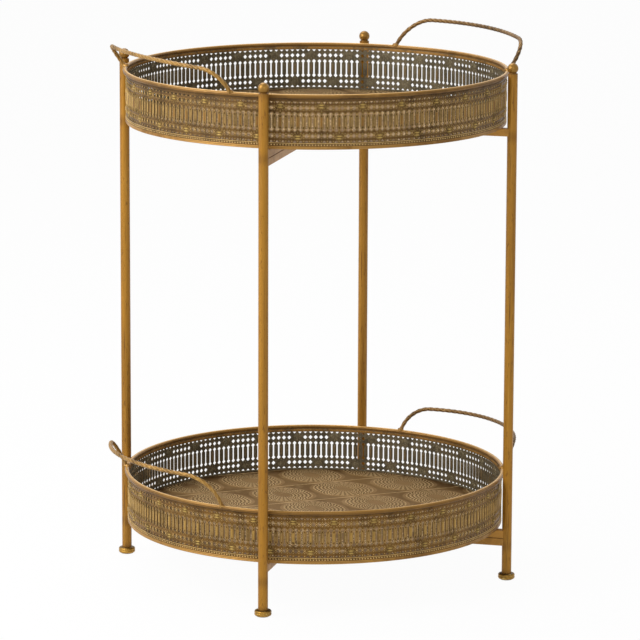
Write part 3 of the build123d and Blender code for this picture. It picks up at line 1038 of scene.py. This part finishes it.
def leaf_group():
    """Masks of the leaf pattern: a leaf's dashes and grooves, and what lies between leaves."""
    group, given = new_group("embossed leaves", "Shader", {"Vector": "Vector"}, dict.fromkeys(
        ("Dashes", "Ridge", "Grooves", "Hollow"), "Float"))
    x, y, _ = coordinates(given["Vector"])
    s, t, edge = leaf_shape(x, y)
    off_leaf = 1.0 - ramp(edge, -0.6 * mm, 0.6 * mm)
    dash_count = 34.0
    beat = calculated("SINE", calculated("ARCTAN2", t, s) * dash_count)
    wave = calculated("COSINE", (beat * (1.1 * mm) + edge) * (math.tau / ring_spacing))
    dashes = ramp(wave, 0.1, 0.7) * (ramp(beat, -0.8, 0.3) * 0.4 + 0.6)
    ringed = ramp(edge, 3.4 * mm, 4.4 * mm) * (1.0 - ramp(edge, 29 * mm, 32 * mm))
    beside = (1.0 - abs(t * 2.0)) * (leaf_pitch / 2)
    near_crossing = 1.0 - abs(s) * 2.0
    ridge = 1.0 - ramp(beside, 0.3 * mm, near_crossing * (1.5 * mm) + 1.1 * mm)
    add_node(group, "NodeGroupOutput", {
        "Dashes": dashes * ringed,
        "Grooves": ramp(wave * -1.0, 0.0, 0.8) * ringed,
        "Ridge": ridge * (near_crossing * 0.4 + 0.6) * off_leaf,
        "Hollow": ramp(abs(s), 0.08, 0.36) * off_leaf})
    return group


def floor_paint(leaves, gallery):
    """Brown-gold patina: rubbed on the leaves' dashes and ridges, darker between them, partly as painted shade,
    and painted shade by the wall.
    """
    warm = colour((240, 222, 198))
    material, shader, where = new_material(f"{gallery.level} tray floor patina", 0.35, specular_tint=warm,
                                           specular_ior_level=0.12)
    pattern = placed(leaves, where)
    # The floor is painted darker near the wall: painted shade where the wall meets it.
    shade_by_wall = ramp(axis_distance(where), gallery.inner - 30 * mm, gallery.inner)
    lay_paint(shader, where, map(colour, floor_tones), relief=0.7, depth=0.5 * mm,
              raised=pattern["Dashes"] - pattern["Grooves"], scale=55.0, dark_share=0.3, bright_share=0.12,
              roughness=0.46, rub=strongest([pattern["Dashes"], pattern["Ridge"]]) * 0.85,
              # Between the leaves the floor is painted darker, partly as painted shade.
              grime=shade_by_wall * 0.5 + pattern["Grooves"] * 0.9 + pattern["Hollow"] * 0.36)
    return material


build_feet()
motifs_round = ring_shaper()
tiles_round = wall_shaper()
twisted_bar = bar_shaper()
leaves = leaf_group()
for level in levels:
    tray = Gallery(level)
    build_gallery(tray, motifs_round, tiles_round)
    build_band(tray)
    build_handles(tray, twisted_bar)
    build_floor(tray, floor_paint(leaves, tray))


# Floor, light and camera

def white_rays(tree):
    """1 for the rays that show the background: straight from the camera, or by way of metal or glass."""
    path = tree.nodes.new("ShaderNodeLightPath").outputs
    return strongest(Term(tree, path[f"Is {kind} Ray"]) for kind in ("Camera", "Transmission", "Glossy"))


def build_stage():
    """A plain pale floor that shows white to the camera and keeps the trolley's shadow."""
    half = 30.0
    floor = bpy.data.objects.new("studio_floor", mesh_from(
        "studio_floor", [(-half, -half, 0), (half, -half, 0), (half, half, 0), (-half, half, 0)],
        [(0, 1, 2, 3)]))
    bpy.context.scene.collection.objects.link(floor)
    material, shader, _ = new_material("studio floor", 0.0, 0.9, base_color=(0.9, 0.9, 0.9, 1),
                                       specular_ior_level=0.0)
    tree = material.node_tree
    white = term(tree, "ShaderNodeEmission", {"Color": (1, 1, 1, 1), "Strength": 1.0})
    pale = Term(tree, shader.outputs[0])
    blend = add_node(tree, "ShaderNodeMixShader", {0: white_rays(tree) * 0.965, 1: pale, 2: white})
    tree.links.new(blend.outputs[0], tree.nodes["Material Output"].inputs["Surface"])
    floor.data.materials.append(material)


def build_world():
    """A white surround to the camera and in reflections, and a soft grey light on the trolley."""
    world = bpy.data.worlds.new("studio")
    bpy.context.scene.world = world
    world.use_nodes = True
    tree = world.node_tree
    soft_light = 0.37
    background = tree.nodes["Background"]
    background.inputs["Color"].default_value = (1, 1, 1, 1)
    strength = white_rays(tree) * (1 - soft_light) + soft_light
    tree.links.new(strength.socket, background.inputs["Strength"])


def build_lamp(name, place, aim, size, power):
    light = bpy.data.lights.new(name, "AREA")
    light.size = size
    light.energy = power
    lamp = bpy.data.objects.new(name, light)
    lamp.location = place
    lamp.rotation_euler = (Vector(aim) - Vector(place)).to_track_quat("-Z", "Y").to_euler()
    bpy.context.scene.collection.objects.link(lamp)


def build_camera():
    """A long lens at the photograph's viewing angle. The picture is 640 pixels square."""
    picture_size = 640
    focal_pixels = 4116.6
    middle_column = 315.35
    azimuth, elevation, roll = math.radians(-30.515), math.radians(11.33), math.radians(0.209)
    distance = 5.5445
    target = Vector((0, 0, 0.3413))
    camera = bpy.data.objects.new("camera", bpy.data.cameras.new("camera"))
    camera.data.sensor_width = 36.0
    camera.data.lens = camera.data.sensor_width * focal_pixels / picture_size
    camera.data.shift_x = (picture_size / 2 - middle_column) / picture_size
    camera.data.clip_end = 100.0
    back = Vector((math.sin(azimuth) * math.cos(elevation), -math.cos(azimuth) * math.cos(elevation),
                   math.sin(elevation)))
    camera.location = target + back * distance
    camera.rotation_euler = (back.to_track_quat("Z", "Y") @ Quaternion((0, 0, 1), roll)).to_euler()
    bpy.context.scene.collection.objects.link(camera)
    bpy.context.scene.camera = camera


build_stage()
build_world()
build_lamp("key_light", (-1.75, 0.1, 1.35), (0, 0, 0.35), 1.4, 32)
build_lamp("fill_light", (-1.6, -4.0, 1.6), (0, 0, 0.35), 2.0, 18)
build_lamp("top_light", (0.2, 1.4, 3.0), (0, 0, 0.4), 1.8, 34)
build_camera()
bpy.context.scene.view_settings.view_transform = "Standard"

bpy.context.view_layer.update()
